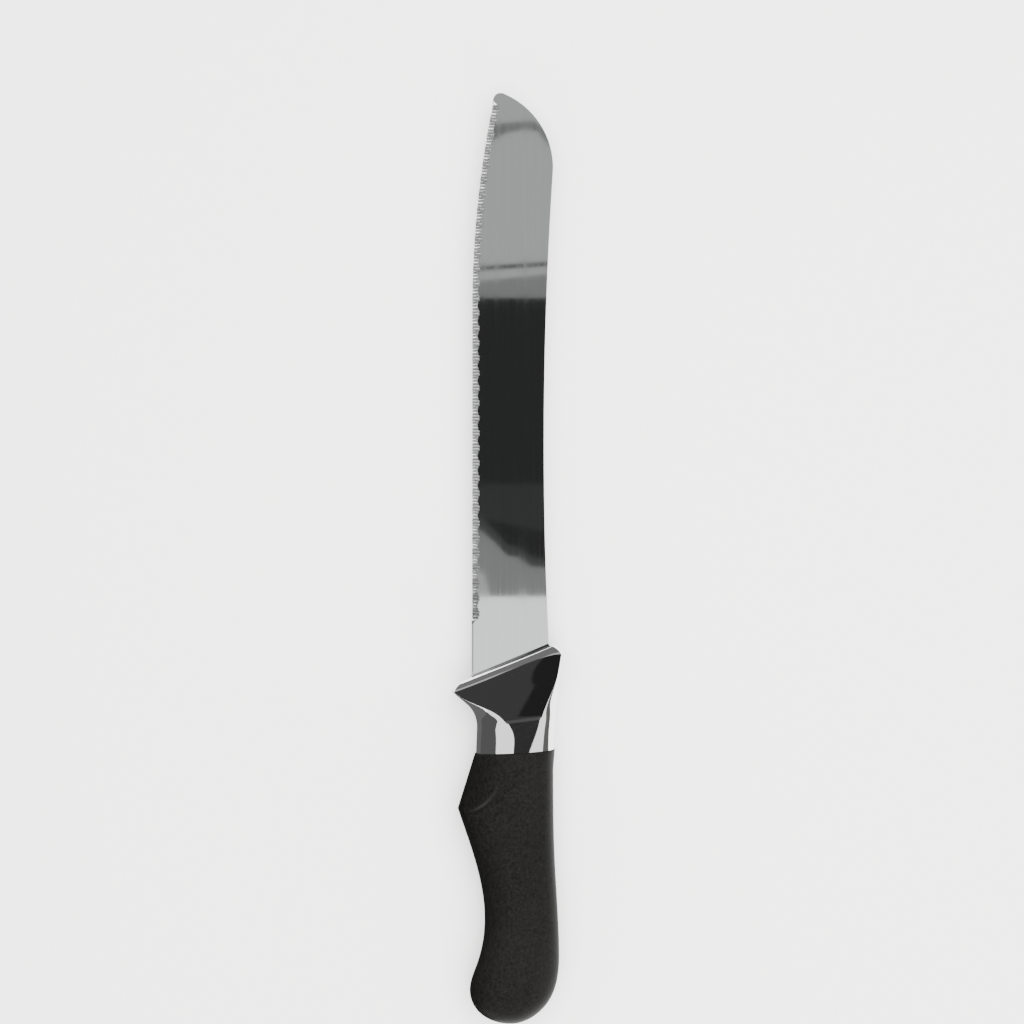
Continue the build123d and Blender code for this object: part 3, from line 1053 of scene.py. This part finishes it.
def soft_light(name, place, size, power):
    """A square area light that looks at the knife, in metres and watts."""
    light = bpy.data.lights.new(name, "AREA")
    light.shape, light.size, light.energy = "SQUARE", size, power
    lamp = bpy.data.objects.new(name, light)
    lamp.location = place
    lamp.rotation_euler = (-Vector(place)).to_track_quat("-Z", "Y").to_euler()
    lamp.visible_glossy = False
    bpy.context.scene.collection.objects.link(lamp)
    print(f"{name}: {power:.0f} W")


soft_light("overhead_light", (0.15, 0.1, 1.2), 1.6, 75.0)
soft_light("low_right_light", (0.6, -1.0, 0.7), 0.4, 6.0)
soft_light("low_left_light", (-0.5, -1.0, 0.7), 0.4, 4.0)

# %% [markdown]
# The camera looks straight down, from far enough that the sides of the collar and the grip stay narrow.
# It stands a little ahead of the knife's middle, so there is more room at the tip than at the butt.

# %% Camera
camera_x, camera_y, camera_z = 1.33, 15.33, 800.0
camera_data = bpy.data.cameras.new("top_camera")
camera_data.lens, camera_data.sensor_width = 84.4, 36.0
camera = bpy.data.objects.new("top_camera", camera_data)
camera.location = (camera_x * MM, camera_y * MM, camera_z * MM)
bpy.context.scene.collection.objects.link(camera)
bpy.context.scene.camera = camera
print(f"camera {camera_z / 1000:.1f} m above the knife")

# %% [markdown]
# A few dark and grey panels stand in for the rest of a room; only reflections see them. Most hang just under
# the camera's height. A place on the flat blade shows the place on their plane that is twice as far from
# the camera's axis, and that is how each one gets its size. The walls are for the collar, whose shoulders
# turn away from the camera and show what stands beside the knife.

# %% Reflection panels
panel_z = 790.0


def glowing_shape(name, corners, tone):
    """One flat face that only reflections see; corners in millimetres."""
    mesh = bpy.data.meshes.new(name)
    vertices = [tuple(value * MM for value in corner) for corner in corners]
    mesh.from_pydata(vertices, [], [tuple(range(len(vertices)))])
    card = bpy.data.objects.new(name, mesh)
    bpy.context.scene.collection.objects.link(card)
    paint, _, surface = plain_finish(name + "_tone", (0.0, 0.0, 0.0), 0.0, Specular_IOR_Level=0.0)
    surface.inputs["Emission Color"].default_value = (1.0, 1.0, 1.0, 1.0)
    surface.inputs["Emission Strength"].default_value = tone
    mesh.materials.append(paint)
    card.visible_camera = card.visible_shadow = card.visible_diffuse = False
    card.visible_transmission = card.visible_volume_scatter = False


def panel(name, corners, tone, lift=0.0):
    """A level face above the knife; a lift below zero brings it in front of the others."""
    glowing_shape(name, [(x, y, panel_z + lift) for x, y in corners], tone)


def side_wall(name, x, top, near, back, tone):
    """An upright face beside the collar; its top slopes down to the floor from near to back."""
    front, foot = joint_y + beak_reach, lowest / MM
    shape = [(front, foot), (front, top), (near, top), (back, foot)]
    glowing_shape(name, [(x, y, z) for y, z in shape], tone)


def across_knife(first_y, last_y):
    """The corners of a wide strip between two places along the knife."""
    return [(-500, first_y), (500, first_y), (500, last_y), (-500, last_y)]


panel("tip_grey", across_knife(157, 430), 0.62)
panel("tip_arc", [
    (-90, 254), (-16, 259), (-2, 266), (10, 268.3), (18, 267), (25.8, 258), (60, 240),
    (60, 250), (28, 262), (24, 268.3), (15, 274.2), (-16, 271.5), (-90, 269),
], 0.25, lift=-1)
panel("front_line", [(-90, 170.5), (90, 182), (90, 185), (-90, 173.5)], 0.10, lift=-1)
panel("front_shade", [
    (-500, 157), (500, 157), (500, 176), (60, 176), (-60, 164.5), (-500, 164.5),
], 0.31, lift=-1)
wavy_border = [(-18, 2), (-10, -4.7), (-2, -13.3), (6, -14.7), (14, -20.7)]
dark_border = [(-60, 30), *wavy_border, (60, -24)]
panel("dark_middle", [(-500, 157), (-500, 50), *dark_border, (500, -24), (500, 157)], 0.04)
panel("mid_grey", [(-500, 50), (-500, -40.7), (500, -40.7), (500, -24), *reversed(dark_border)], 0.33)
panel("pale_corner", [(-60, 4), (-17, -26), (-13, -40.7), (-60, -40.7)], 0.62, lift=-1)
panel("soft_start", [
    (-40, 16), *wavy_border, (40, -22),
    (40, -19), (14, -14), (6, -8), (-2, -6), (-10, 3), (-18, 11), (-40, 24),
], 0.085, lift=-1)
panel("dark_end", [(-60, 20), (60, -6), (60, 34), (-60, 34)], 0.06, lift=-0.5)
panel("neck_dark", [(-16, -150), (30, -150), (30, -112), (-16, -112)], 0.04)
panel("base_grey", [(-16, -225), (60, -225), (60, -150), (-16, -150)], 0.10)
panel("facet_grey", [(-60, -310), (6.5, -310), (51, -225), (-60, -225)], 0.056)
panel("facet_dark", [(6.5, -310), (110, -310), (110, -225), (51, -225)], 0.021)
panel("front_far", across_knife(430, 1800), 0.20)
side_wall("left_wall", -80, 100, joint_y - 40, joint_y - 160, 0.11)
side_wall("right_wall", 80, 42, joint_y - 14, joint_y - 62, 0.15)
foot = lowest / MM + 0.1


def wall_of(first, last, top):
    """The corners of an upright face on the floor, between two places."""
    return [(*first, foot), (*last, foot), (*last, top), (*first, top)]


glowing_shape("edge_wall", wall_of((-400, -200), (-400, 350), 250), 0.30)
glowing_shape("front_wall", wall_of((-900, 700), (500, 700), 780), 0.20)
glowing_shape("left_foot", [(-80, -200, foot), (-8, -200, foot), (-8, -44, foot), (-80, -44, foot)], 0.16)
